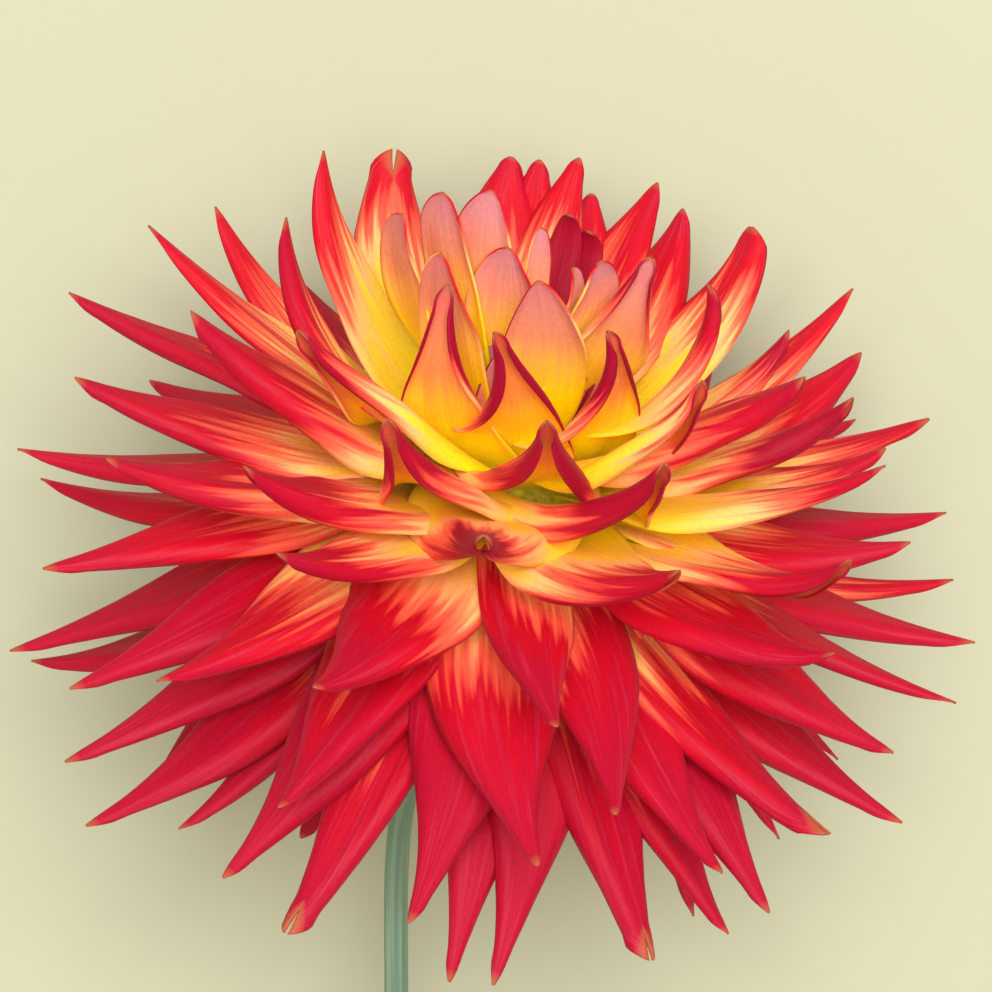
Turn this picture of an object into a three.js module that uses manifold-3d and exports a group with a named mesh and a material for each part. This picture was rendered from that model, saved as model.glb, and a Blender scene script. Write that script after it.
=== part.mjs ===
// A fully double cactus dahlia, cut with its stem and lying on a table.
// Millimetres, +Z up. The origin is on the table, under the middle of the whole flower's box.
// The bloom looks up and forwards (+Y), and the stem runs back (-Y) and down to its cut end.

import * as THREE from 'three';
import { mergeVertices } from 'three/addons/utils/BufferGeometryUtils.js';
import Module from 'manifold-3d';

const wasm = await Module();
wasm.setup();

// The head: its middle, where all petals start, and the way that its axis points.
const headHeight = 58;
const headForward = 40.7;
const headSideways = 0;
const axisLift = THREE.MathUtils.degToRad(22);
const axisTurn = THREE.MathUtils.degToRad(8);

// The view that the petals' places are taken from: straight down on the head's middle.
const pixelsPerMm = 6.37;
const middlePixel = { x: 492, y: 550 };
const eyeHeight = 750;

// The receptacle, the dome in the middle of the head that the petals grow from.
const domeRadius = 12;
const domeRise = 13;

// The core that the petals' crowded roots fill, as pairs of radius and place along the axis, tail first.
const coreProfile = [
  [0, -3.5], [10.9, -3.5], [12.4, -6.2], [16, -7], [20, -3], [22, 5], [19, 14], [12, 20], [0, 23],
];

// A petal: half its width, how far its edges roll back, and how fast it widens from its root and narrows to its
// tip, from row to row, inner rows first.
const rows = {
  bud: { halfWidth: 4, roll: 50, swell: 0.85, taper: 0.7 },
  inner: { halfWidth: 5.4, roll: 80, swell: 0.85, taper: 0.9 },
  crown: { halfWidth: 8.8, roll: 100, swell: 0.8, taper: 0.95 },
  collar: { halfWidth: 8.2, roll: 110, swell: 0.5, taper: 1.1 },
  shoulder: { halfWidth: 11.2, roll: 115, swell: 0.7, taper: 1.05 },
  middle: { halfWidth: 10.4, roll: 115, swell: 0.8, taper: 1.05 },
  lower: { halfWidth: 9.6, roll: 115, swell: 0.85, taper: 1.05 },
  skirt: { halfWidth: 9.8, roll: 115, swell: 0.85, taper: 1.1 },
  hem: { halfWidth: 9.4, roll: 115, swell: 0.85, taper: 1.1 },
};
const rowFrom = [
  ['inner', 62], ['collar', 46], ['shoulder', 32], ['middle', 15], ['lower', -4], ['skirt', -19], ['hem', -90],
];
const petalThickness = 0.82;
const rootRoll = 28;
const rootShare = 0.07;
const rollSpan = { from: 0.25, to: 0.85 };
const flatSpan = { from: 0.4, to: 0.92, atRoot: 0.6, atTip: 0.14 };
const ringPlaces = {
  near: [0.08, 0.37, 0.61, 0.82], far: [0.08, 0.42, 0.76], closed: [0.08, 0.55], bract: [0.05, 0.4, 0.75],
};
const ringCorners = [-1, -0.5, 0.5, 1];
const handleShare = { root: 0.36, tip: 0.34 };
const bendShare = { level: 8, perDegree: 0.5, least: -26, most: 28, tip: 0.9 };

// How petals differ from one another: a bow to one side in mm, a twist in degrees and a share of the width.
const uneven = { sway: 4, twist: 26, width: 0.16 };

// A seen petal's middle line passes the second of its pixels at this share of its length, if it is near enough.
const seenAt = 0.6;
const mostShift = 14;
const twistFrom = 0.3;

// Joins leave slivers narrower than this.
const joinTolerance = 0.015;

// Petals that would reach through the table end on it, pressed on by this much and cut off level.
const tablePress = 1;
const leastArch = 12;

// Petals that the photograph shows: the pixels of the tip and of a place further back on the middle line, the
// tip's reach from the head's middle in mm, and its near (1) or far (-1) side. Some have their own values.
const slimYoung = { width: 0.6 };
const smallYoung = { width: 0.4 };
const petalsSeen = {
  inner: [
    [538, 281, 545, 350, 55.5, 1, { width: 1.3 }], [510, 249, 505, 305, 55, 1, { width: 1.15 }],
    [440, 253, 450, 325, 57, 1, { width: 1.1 }], [403, 215, 408, 285, 60, 1, { twist: 20 }],
    [443, 193, 450, 265, 63, 1, { twist: 45, width: 1.1 }], [492, 191, 482, 265, 63, 1, { twist: 40, width: 1.1 }],
    [589, 232, 580, 280, 50, -1, slimYoung], [570, 215, 560, 270, 52, -1, slimYoung],
    [541, 228, 535, 290, 57, 1, smallYoung], [573, 268, 570, 320, 51, 1, smallYoung],
    [600, 262, 592, 310, 54, 1, { width: 0.7, twist: -40 }],
  ],
  crown: [
    [395, 149, 402, 275, 69, -1, { width: 1 }], [326, 157, 360, 288, 68, -1], [512, 157, 500, 240, 66, -1],
    [540, 160, 522, 250, 66, -1], [580, 158, 542, 260, 66, -1], [658, 183, 597, 282, 68, -1],
    [683, 209, 637, 300, 68, -1], [751, 227, 694, 328, 68, -1], [591, 194, 580, 260, 64, -1, { width: 0.7 }],
    [154, 231, 292, 343, 74, -1], [215, 207, 311, 341, 72, -1], [853, 289, 716, 404, 74, -1],
    [861, 353, 745, 425, 73, -1],
  ],
  collar: [
    [449, 285, 446, 390, 59, 1, { twist: 0 }], [494, 333, 512, 405, 60.4, 1, { twist: 60 }],
    [607, 332, 602, 405, 58.4, 1, { twist: 42 }], [708, 285, 680, 370, 62, 1, { twist: 60, width: 1.3 }], [286, 218, 330, 345, 68, 1, { twist: -40, width: 1.3 }],
    [652, 258, 607, 340, 58, 1, { twist: -100, width: 1.2 }],
  ],
  shoulder: [
    [547, 421, 543, 465, 62, 1, { twist: 0 }], [387, 419, 430, 478, 64, 1], [664, 464, 608, 500, 65, 1],
    [702, 381, 640, 445, 64, 1], [298, 331, 385, 400, 65, 1, { twist: 30 }], [191, 312, 310, 392, 69, 1, { twist: -30, width: 1.2 }],
    [804, 378, 700, 420, 68, 1, { twist: 35, width: 1.2 }],
  ],
  middle: [
    [484, 536, 492, 528, 66, 1, { width: 1.12, twist: 0 }], [244, 467, 345, 495, 68, 1],
    [277, 554, 372, 550, 70, 1], [679, 571, 600, 566, 70, 1], [850, 560, 752, 572, 73, 1],
    [106, 459, 260, 480, 72, 1], [885, 466, 735, 500, 72, 1], [75, 378, 230, 424, 74, 1],
    [69, 293, 222, 357, 77, -1], [929, 419, 752, 464, 75, -1],
  ],
  lower: [
    [556, 727, 536, 640, 72, 1, { width: 0.78 }], [314, 688, 390, 625, 73, 1], [834, 654, 722, 620, 74, 1],
    [26, 451, 200, 463, 76, -1], [43, 569, 220, 522, 75, 1], [953, 580, 772, 573, 76, -1],
    [966, 641, 782, 586, 77, -1], [946, 513, 772, 513, 76, -1], [157, 681, 282, 612, 75, 1],
    [41, 479, 200, 498, 76, -1], [150, 381, 262, 412, 72, -1], [855, 420, 742, 442, 72, -1],
  ],
  skirt: [
    [615, 815, 600, 700, 75, 1], [538, 866, 502, 725, 77, 1, { width: 1.15 }], [279, 808, 348, 702, 76, 1],
    [70, 689, 236, 600, 77, 1], [722, 873, 650, 750, 77, 1], [830, 833, 702, 717, 77, 1],
    [893, 753, 762, 666, 77, 1], [956, 703, 772, 618, 77, 1], [902, 823, 752, 704, 78, 1],
    [10, 651, 200, 574, 77, -1],
  ],
  hem: [
    [223, 878, 332, 738, 77, 1], [285, 933, 366, 782, 77, 1], [409, 923, 460, 762, 77, 1],
    [449, 982, 485, 805, 78, 1], [493, 985, 534, 802, 78, 1], [652, 960, 608, 800, 78, 1],
    [728, 934, 664, 800, 77, 1], [769, 913, 690, 752, 78, 1], [65, 762, 232, 660, 77, 1],
    [86, 826, 242, 714, 78, 1], [179, 829, 290, 716, 67, 1], [32, 661, 190, 622, 76, -1],
    [301, 838, 342, 742, 57, 1],
  ],
};

// Petals that it hides: an even spiral over the rest of the head, where no seen tip is near.
const goldenAngle = 137.508;
const hidden = {
  count: 116, lowest: -0.72, highest: 0.985, clearDegrees: 16, reach: 63.5, deeper: 12, level: 20, shorter: 0.3,
};

// Florets still closed round the very middle.
const bud = { count: 16, firstTilt: 3, spread: 4.2, reach: 35, longer: 1.6, uneven: 2 };

// The green cup behind the bloom, with its thin inner scales and fleshy outer bracts.
const cupProfile = [[0, -14], [2.9, -14], [4.4, -12], [8.4, -9.4], [10.4, -6], [9.2, -3.9], [0, -3.9]];
const innerScales = {
  count: 8, from: [7.5, -5.5], middle: [14, -8.4], to: [19, -12.5], halfWidth: 3.4, start: 10,
};
const outerBracts = {
  count: 6, from: [6.5, -8.5], middle: [13.5, -11], to: [16.5, -19], halfWidth: 3.6, start: 30,
};
const bractThickness = 0.9;

// The stem: its middle line from the cup, in mm from the head's middle, and its radius.
const stemLine = [
  [-1.85, -13.1, -5.35], [-3.4, -19.5, -8.2], [-8.4, -28, -12.4], [-13.4, -38, -16.8], [-15.3, -50, -21.6],
  [-15.6, -70, -29], [-15.6, -92, -36.8], [-15.6, -118, -46], [-15.8, -146, -56.2],
];
const stemRadius = { top: 1.95, bottom: 2.15 };
const stemSides = 12;
const stemSteps = 26;

const bloomMaterial = new THREE.MeshStandardMaterial({ color: '#c8102e', roughness: 0.5, metalness: 0 });
const calyxMaterial = new THREE.MeshStandardMaterial({ color: '#6f8a3c', roughness: 0.6, metalness: 0 });
const stemMaterial = new THREE.MeshStandardMaterial({ color: '#6f8a78', roughness: 0.55, metalness: 0 });

const radians = THREE.MathUtils.degToRad;
const headMiddle = new THREE.Vector3(headSideways, headForward, headHeight);
const axis = new THREE.Vector3(
  Math.sin(axisTurn) * Math.cos(axisLift),
  Math.cos(axisTurn) * Math.cos(axisLift),
  Math.sin(axisLift),
);
const up = new THREE.Vector3(0, 0, 1);
const front = up.clone().addScaledVector(axis, -axis.z).normalize();
const right = new THREE.Vector3().crossVectors(axis, front);

// A direction from the head's middle: degrees above the head's equator, and round its axis.
function direction(elevation, azimuth) {
  const flat = Math.cos(radians(elevation));
  return new THREE.Vector3()
    .addScaledVector(front, flat * Math.cos(radians(azimuth)))
    .addScaledVector(right, flat * Math.sin(radians(azimuth)))
    .addScaledVector(axis, Math.sin(radians(elevation)));
}

// The place seen at a pixel, as it stands from the head's middle, at a given height over that middle.
function placeAt(pixelX, pixelY, height) {
  const scale = pixelsPerMm * eyeHeight / (eyeHeight - height);
  return new THREE.Vector3((pixelX - middlePixel.x) / scale, (middlePixel.y - pixelY) / scale, height);
}

function seenTip(pixelX, pixelY, reach, side) {
  const tip = new THREE.Vector3();
  for (let round = 0; round < 12; round += 1) {
    tip.copy(placeAt(pixelX, pixelY, tip.z));
    tip.z = side * Math.sqrt(Math.max(reach * reach - tip.x * tip.x - tip.y * tip.y, 0));
  }
  return tip;
}

function domePoint(elevation, azimuth) {
  const onDome = direction(90 - (90 - elevation) * 0.62, azimuth);
  const rise = onDome.dot(axis);
  return onDome.addScaledVector(axis, -rise).multiplyScalar(domeRadius)
    .addScaledVector(axis, rise * domeRise);
}

// The four points of a petal's middle line, with its end laid along the table where it must be.
function petalLine(tip, elevation, azimuth, bow, seen) {
  const root = domePoint(elevation, azimuth);
  const length = tip.distanceTo(root);
  const bend = THREE.MathUtils.clamp(
    -bendShare.perDegree * (elevation - bendShare.level), bendShare.least, bendShare.most);
  const startWay = direction(Math.min(elevation + bend, 89), azimuth);
  const endWay = direction(elevation - bend * bendShare.tip, azimuth);
  const rootHandle = root.clone().addScaledVector(startWay, length * handleShare.root);
  const end = tip.clone();
  const tipHandle = tip.clone().addScaledVector(endWay, -length * handleShare.tip);
  const shift = bow.clone();
  if (seen) {
    const nearRoot = 3 * seenAt * (1 - seenAt) ** 2;
    const nearTip = 3 * seenAt ** 2 * (1 - seenAt);
    const place = new THREE.CubicBezierCurve3(root, rootHandle, tipHandle, end).getPoint(seenAt);
    shift.copy(placeAt(...seen, place.z)).sub(place).divideScalar(nearRoot + nearTip)
      .clampLength(0, mostShift);
  }
  rootHandle.add(shift);
  tipHandle.add(shift);
  const table = -tablePress - headHeight;
  if (end.z < table) {
    const outwards = new THREE.Vector3(tip.x, tip.y, 0).normalize();
    const drop = root.z - table;
    const run = Math.sqrt(Math.max(length * length - drop * drop, 0));
    end.copy(root).addScaledVector(outwards, run).setZ(table);
    tipHandle.copy(end).addScaledVector(outwards, -length * handleShare.tip);
    rootHandle.z = Math.max(rootHandle.z, table + leastArch);
  }
  return new THREE.CubicBezierCurve3(root, rootHandle, tipHandle, end);
}

// How wide a petal is at u along it, as a share of its greatest width.
function widthAt(u, swell, taper) {
  const widest = (swell - taper * rootShare) / (swell + taper);
  const most = (widest + rootShare) ** swell * (1 - widest) ** taper;
  return (u + rootShare) ** swell * (1 - u) ** taper / most;
}

// A point across a petal: flat in the middle, with edges rolled back. v runs from -1 to 1.
function acrossPetal(v, halfWidth, roll, flat) {
  const beyond = Math.max(Math.abs(v) - flat, 0);
  const perShare = roll / (1 - flat);
  const angle = beyond * perShare;
  return {
    sideways: halfWidth * Math.sign(v) * (Math.min(Math.abs(v), flat) + Math.sin(angle) / perShare),
    outwards: -halfWidth * (1 - Math.cos(angle)) / perShare,
    angle: angle * Math.sign(v),
  };
}

// A closed skin over rings of points, flat across the first ring and drawn to a point at the last.
function skin(rings, tip) {
  const places = rings.flat();
  const faces = [];
  const sides = rings[0].length;
  for (let side = 1; side < sides - 1; side += 1) {
    faces.push(0, side + 1, side);
  }
  for (let ring = 0; ring < rings.length - 1; ring += 1) {
    for (let side = 0; side < sides; side += 1) {
      const next = (side + 1) % sides;
      const here = ring * sides;
      const there = here + sides;
      faces.push(here + side, here + next, there + next);
      faces.push(here + side, there + next, there + side);
    }
  }
  const last = (rings.length - 1) * sides;
  const point = places.push(tip) - 1;
  for (let side = 0; side < sides; side += 1) {
    faces.push(last + side, last + (side + 1) % sides, point);
  }
  const geometry = new THREE.BufferGeometry().setFromPoints(places);
  geometry.setIndex(faces);
  return geometry;
}

function bladeGeometry(line, places, sidewaysWay, twist, widthOf, rollOf, flatOf, thickness) {
  const rings = places.map((u) => {
    const middle = line.getPoint(u);
    const along = line.getTangent(u);
    const sideways = sidewaysWay.clone().addScaledVector(along, -sidewaysWay.dot(along)).normalize()
      .applyAxisAngle(along, twist * (u - twistFrom));
    const inwards = new THREE.Vector3().crossVectors(along, sideways);
    const place = (x, z) => middle.clone().addScaledVector(sideways, x).addScaledVector(inwards, z);
    const outer = ringCorners.map((v) => acrossPetal(v, widthOf(u), rollOf(u), flatOf(u)));
    const back = [outer[2], outer[1]].map((corner) => place(
      corner.sideways - Math.sin(corner.angle) * thickness,
      corner.outwards - Math.cos(corner.angle) * thickness,
    ));
    return [...outer.map((corner) => place(corner.sideways, corner.outwards)), ...back].reverse();
  });
  return skin(rings, line.getPoint(1));
}

function petal(tip, elevation, azimuth, row, places, seen, own = {}) {
  const { halfWidth, roll, swell, taper } = rows[row];
  const around = front.clone().multiplyScalar(-Math.sin(radians(azimuth)))
    .addScaledVector(right, Math.cos(radians(azimuth)));
  const [swaying, widening, twisting] = [0, 1.3, 2.9].map((phase) => (
    Math.sin(elevation * 1.7 + azimuth * 0.9 + phase)));
  const width = own.width ?? 1 + uneven.width * widening;
  const ease = THREE.MathUtils.smoothstep;
  return bladeGeometry(
    petalLine(tip, elevation, azimuth, around.clone().multiplyScalar(uneven.sway * swaying), seen),
    places,
    around,
    radians(own.twist ?? uneven.twist * twisting),
    (u) => halfWidth * width * widthAt(u, swell, taper),
    (u) => radians(rootRoll + (roll - rootRoll) * ease(u, rollSpan.from, rollSpan.to)),
    (u) => flatSpan.atRoot + (flatSpan.atTip - flatSpan.atRoot) * ease(u, flatSpan.from, flatSpan.to),
    petalThickness,
  );
}

function petals() {
  const grown = [];
  const ways = [];
  for (const [row, shown] of Object.entries(petalsSeen)) {
    for (const [pixelX, pixelY, backX, backY, reach, side, own] of shown) {
      const tip = seenTip(pixelX, pixelY, reach, side);
      const way = tip.clone().normalize();
      const elevation = THREE.MathUtils.radToDeg(Math.asin(way.dot(axis)));
      const azimuth = THREE.MathUtils.radToDeg(Math.atan2(way.dot(right), way.dot(front)));
      ways.push(way);
      const places = side > 0 ? ringPlaces.near : ringPlaces.far;
      grown.push(petal(tip, elevation, azimuth, row, places, [backX, backY], own));
    }
  }
  for (let turn = 0; turn < hidden.count; turn += 1) {
    const share = (turn + 0.5) / hidden.count;
    const rise = hidden.lowest + share * (hidden.highest - hidden.lowest);
    const elevation = THREE.MathUtils.radToDeg(Math.asin(rise));
    const azimuth = turn * goldenAngle % 360;
    const way = direction(elevation, azimuth);
    if (ways.some((other) => other.angleTo(way) < radians(hidden.clearDegrees))) {
      continue;
    }
    const [row] = rowFrom.find(([, lowest]) => elevation > lowest);
    const reach = hidden.reach + hidden.deeper * Math.abs(way.z)
      - Math.max(elevation - hidden.level, 0) * hidden.shorter;
    grown.push(petal(way.clone().multiplyScalar(reach), elevation, azimuth, row, ringPlaces.far));
  }
  for (let turn = 0; turn < bud.count; turn += 1) {
    const elevation = 90 - bud.firstTilt - bud.spread * Math.sqrt(turn);
    const azimuth = turn * goldenAngle;
    const reach = bud.reach + bud.longer * Math.sqrt(turn) + bud.uneven * Math.sin(turn * 3.3);
    const tip = direction(elevation, azimuth).multiplyScalar(reach);
    grown.push(petal(tip, elevation, azimuth, 'bud', ringPlaces.closed));
  }
  return grown;
}

// A round shape about the head's axis, from [radius, place along the axis] pairs, tail first.
function roundOnAxis(profile, sides) {
  const points = profile.map(([radius, along]) => new THREE.Vector2(radius, along));
  const geometry = new THREE.LatheGeometry(points, sides);
  const turned = new THREE.Quaternion().setFromUnitVectors(new THREE.Vector3(0, 1, 0), axis);
  return geometry.applyQuaternion(turned);
}

function bracts({ count, from, middle, to, halfWidth, start }) {
  return Array.from({ length: count }, (unused, index) => {
    const azimuth = start + index * 360 / count;
    const outwards = direction(0, azimuth);
    const around = direction(0, azimuth + 90);
    const place = ([radius, along]) => outwards.clone().multiplyScalar(radius).addScaledVector(axis, along);
    const line = new THREE.QuadraticBezierCurve3(place(from), place(middle), place(to));
    return bladeGeometry(
      line,
      ringPlaces.bract,
      around,
      0,
      (u) => halfWidth * Math.sqrt(1 - u ** 2.4),
      () => radians(20),
      () => 0.5,
      bractThickness,
    );
  });
}

function stemGeometry() {
  const line = new THREE.CatmullRomCurve3(stemLine.map((place) => new THREE.Vector3(...place)));
  const rings = [];
  for (let step = 0; step <= stemSteps; step += 1) {
    const u = step / stemSteps;
    const along = line.getTangentAt(u);
    const across = new THREE.Vector3().crossVectors(along, up).normalize();
    const over = new THREE.Vector3().crossVectors(along, across);
    const radius = stemRadius.top + (stemRadius.bottom - stemRadius.top) * u;
    rings.push(Array.from({ length: stemSides }, (unused, side) => {
      const angle = side / stemSides * Math.PI * 2;
      return line.getPointAt(u).clone()
        .addScaledVector(across, Math.cos(angle) * radius)
        .addScaledVector(over, Math.sin(angle) * radius);
    }));
  }
  return skin(rings, line.getPointAt(1));
}

function solid(geometry) {
  const bare = geometry.clone();
  bare.deleteAttribute('normal');
  bare.deleteAttribute('uv');
  const merged = mergeVertices(bare, 1e-4);
  return new wasm.Manifold(new wasm.Mesh({
    numProp: 3,
    vertProperties: merged.attributes.position.array,
    triVerts: new Uint32Array(merged.index.array),
  }));
}

const fuse = (geometries) => geometries.map(solid).reduce((whole, piece) => whole.add(piece));

const tableTop = fuse([new THREE.BoxGeometry(600, 600, 100).translate(0, 0, -50 - headHeight)]);

// A named piece, cut off level at the table, without the scraps and sealed hollows that fusing leaves.
function part(name, whole, material) {
  const bodies = whole.subtract(tableTop).simplify(joinTolerance).decompose();
  const [body] = bodies.sort((one, other) => other.volume() - one.volume());
  const { vertProperties, triVerts } = body.getMesh();
  const geometry = new THREE.BufferGeometry();
  geometry.setAttribute('position', new THREE.BufferAttribute(vertProperties, 3));
  geometry.setIndex(new THREE.BufferAttribute(triVerts, 1));
  geometry.computeVertexNormals();
  const mesh = new THREE.Mesh(geometry, material);
  mesh.name = name;
  mesh.position.copy(headMiddle);
  return mesh;
}

const group = new THREE.Group();
group.add(part('bloom', fuse([roundOnAxis(coreProfile, 16), ...petals()]), bloomMaterial));
group.add(part('calyx', fuse([
  roundOnAxis(cupProfile, 20), ...bracts(innerScales), ...bracts(outerBracts),
]), calyxMaterial));
group.add(part('stem', fuse([stemGeometry()]), stemMaterial));

export default group;
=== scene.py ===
# The looks of a cut cactus dahlia that lies on a table: petals, calyx, stem, light and camera.
import math

import bmesh
import bpy
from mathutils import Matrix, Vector


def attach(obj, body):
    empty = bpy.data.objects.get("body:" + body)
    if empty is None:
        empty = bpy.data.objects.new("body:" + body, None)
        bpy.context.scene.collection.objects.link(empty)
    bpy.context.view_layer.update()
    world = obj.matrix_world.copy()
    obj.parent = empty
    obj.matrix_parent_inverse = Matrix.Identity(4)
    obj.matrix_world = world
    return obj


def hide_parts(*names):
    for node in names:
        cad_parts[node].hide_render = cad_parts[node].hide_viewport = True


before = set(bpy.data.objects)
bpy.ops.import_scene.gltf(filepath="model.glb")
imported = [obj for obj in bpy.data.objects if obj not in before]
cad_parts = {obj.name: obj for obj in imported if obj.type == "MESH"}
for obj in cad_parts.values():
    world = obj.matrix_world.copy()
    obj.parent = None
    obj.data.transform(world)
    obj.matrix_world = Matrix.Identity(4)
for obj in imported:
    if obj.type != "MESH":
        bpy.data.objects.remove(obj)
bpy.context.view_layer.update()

mm = 0.001
scene = bpy.context.scene

# The head as the solids have it, in mm from the origin: its middle, and the way that its axis points.
head = {
    "middle": (0.0, 40.7, 58.0),
    "axisLift": 22.0,  # degrees above the table
    "axisTurn": 8.0,  # degrees to the right
    "domeRadius": 12.0,
    "domeRise": 13.0,
}

# The photograph's view: straight down on the head's middle.
view = {
    "pixelsPerMm": 6.37,
    "middlePixel": (492, 550),
    "framePixels": 992,
    "eyeHeight": 750.0,  # mm above the head's middle
    "sensorWidth": 36.0,
    "depthSteps": 12,  # rounds in which a tip's pixel and its depth settle
    "clipEnd": 20,  # m
}

lift = math.radians(head["axisLift"])
turn = math.radians(head["axisTurn"])
headMiddle = Vector(head["middle"])
axis = Vector((math.sin(turn) * math.cos(lift), math.cos(turn) * math.cos(lift), math.sin(lift)))
front = (Vector((0, 0, 1)) - axis * axis.z).normalized()
right = axis.cross(front)


def linear(hexColor):
    channels = [int(hexColor[place:place + 2], 16) / 255 for place in (1, 3, 5)]
    return [c / 12.92 if c <= 0.04045 else ((c + 0.055) / 1.055) ** 2.4 for c in channels] + [1.0]


def put(tree, kind, *inputs, out=0, named=None, **settings):
    node = tree.nodes.new(kind)
    for name, value in settings.items():
        setattr(node, name, value)
    for key, value in [*enumerate(inputs), *(named or {}).items()]:
        if isinstance(value, bpy.types.NodeSocket):
            tree.links.new(value, node.inputs[key])
        elif value is not None:
            node.inputs[key].default_value = value
    return node.outputs[out] if node.outputs else node


# Blender's names for the nodes that are used most.
sums, vectors, noise = "ShaderNodeMath", "ShaderNodeVectorMath", "ShaderNodeTexNoise"
ramped, mixed = "ShaderNodeMapRange", "ShaderNodeMix"
separate, combine = "ShaderNodeSeparateXYZ", "ShaderNodeCombineXYZ"
# Their settings that come up again and again.
smooth = {"interpolation_type": "SMOOTHSTEP"}
times, minus, timesPlus = ({"operation": kind} for kind in ("MULTIPLY", "SUBTRACT", "MULTIPLY_ADD"))


def makeCamera():
    half = view["framePixels"] / 2
    data = bpy.data.cameras.new("camera")
    data.sensor_width = view["sensorWidth"]
    data.lens = view["sensorWidth"] / 2 * view["eyeHeight"] * view["pixelsPerMm"] / half
    data.shift_x = (half - view["middlePixel"][0]) / view["framePixels"]
    data.shift_y = (view["middlePixel"][1] - half) / view["framePixels"]
    data.clip_end = view["clipEnd"]
    camera = bpy.data.objects.new("camera", data)
    camera.location = (headMiddle + Vector((0, 0, view["eyeHeight"]))) * mm
    scene.collection.objects.link(camera)
    scene.camera = camera


makeCamera()
print("camera ready")


# Rows of petals, from the closed florets in the middle out to the hem round the back, and the one petal that
# points at the camera. Width and tip are half the widest place and half the end in mm, roll is in degrees,
# and swell and taper are powers: smaller is fuller. Curl is where the roll starts and is full, and red where
# the crimson starts, as shares of the length. Flat is the share of the width that stays flat at the root and
# at the tip, and the last value is painted shade: how far the crimson is darkened to stand in for the shade
# deep in the bloom.
petalRows = {
    "florets": {
        "width": 4.0, "roll": 50, "swell": 0.85, "taper": 0.7, "tip": 0.3,
        "curl": (0.28, 0.86), "flat": (0.6, 0.15), "red": 0.2, "deep": 0.8,
    },
    "inner": {
        "width": 5.4, "roll": 40, "swell": 0.85, "taper": 0.9, "tip": 0.5,
        "curl": (0.28, 0.86), "flat": (0.6, 0.3), "red": 0.86, "deep": 0.3,
    },
    "crown": {
        "width": 8.8, "roll": 105, "swell": 0.8, "taper": 0.95, "tip": 0.4,
        "curl": (0.35, 0.9), "flat": (0.6, 0.2), "red": 0.66, "deep": 0.0,
    },
    "collar": {
        "width": 8.2, "roll": 140, "swell": 0.5, "taper": 1.1, "tip": 1.2,
        "curl": (0.3, 0.85), "flat": (0.6, 0.2), "red": 0.7, "deep": 0.9,
    },
    "shoulder": {
        "width": 11.6, "roll": 175, "swell": 0.7, "taper": 1.05, "tip": 1.2,
        "curl": (0.15, 0.75), "flat": (0.5, 0.12), "red": 0.72, "deep": 0.7,
    },
    "nearest": {
        "width": 12.8, "roll": 215, "swell": 0.7, "taper": 1.1, "tip": 2.0,
        "curl": (0.25, 0.8), "flat": (0.36, 0.12), "red": 0.8, "deep": 0.9,
    },
    "middle": {
        "width": 10.6, "roll": 165, "swell": 0.8, "taper": 1.05, "tip": 0.7,
        "curl": (0.25, 0.85), "flat": (0.6, 0.15), "red": 0.66, "deep": 0.4,
    },
    "lower": {
        "width": 9.6, "roll": 150, "swell": 0.85, "taper": 1.05, "tip": 0.4,
        "curl": (0.28, 0.86), "flat": (0.6, 0.15), "red": 0.53, "deep": 0.15,
    },
    "skirt": {
        "width": 9.8, "roll": 150, "swell": 0.85, "taper": 1.1, "tip": 0.35,
        "curl": (0.28, 0.86), "flat": (0.6, 0.15), "red": 0.4, "deep": 0.25,
    },
    "hem": {
        "width": 9.4, "roll": 150, "swell": 0.85, "taper": 1.1, "tip": 0.35,
        "curl": (0.28, 0.86), "flat": (0.6, 0.15), "red": 0.36, "deep": 0.35,
    },
}
# The row that a hidden petal belongs to, by the degrees above the head's equator that it has to pass.
rowFrom = [
    ("inner", 62), ("collar", 46), ("shoulder", 32), ("middle", 15), ("lower", -4), ("skirt", -19),
    ("hem", -90),
]

# How a petal's middle line runs, and how its blade is shaped along it. Values with no unit are shares of the
# length or plain factors.
petalForm = {
    "rings": 40,
    "columns": 21,
    "thickness": 0.4,  # mm
    "rootShare": 0.07,
    "rootRoll": 28.0,  # degrees
    "flatFrom": 0.5,
    "flatTo": 0.95,
    "cup": 0.45,
    "foldHeight": 0.9,  # mm
    "foldWidth": 5.0,  # mm
    "edgeWave": 0.9,  # mm
    "notch": 0.075,  # how deep a split tip is
    "splitWidth": 2.2,  # mm, what a split tip is broader by
    "rootSpread": 0.62,  # how far the roots spread over the dome, as a share of the tips' spread
    "rootHandle": 0.36,
    "tipHandle": 0.34,
    "bendLevel": 8.0,  # degrees above the equator where a petal is straight
    "bendPerDegree": 0.5,
    "leastBend": -26.0,  # degrees
    "mostBend": 28.0,  # degrees
    "mostLift": 89,  # degrees
    "tipBend": 0.9,
    "tablePress": 1.0,  # mm
    "leastArch": 12.0,  # mm
    "sway": 4.0,  # mm
    "seenAt": 0.6,
    "mostShift": 14.0,  # mm
    "twist": 26.0,  # degrees
    "unevenWidth": 0.16,
    "unevenRed": 0.1,
    "unevenBy": (1.7, 0.9),  # how fast a petal's chances change with its elevation and azimuth
    "unevenPhases": (0.0, 1.3, 2.9, 4.1),  # of sway, width, twist and colour
    "youngFrom": 25,  # degrees above the equator
    "youngOver": 50,  # degrees
}

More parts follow.
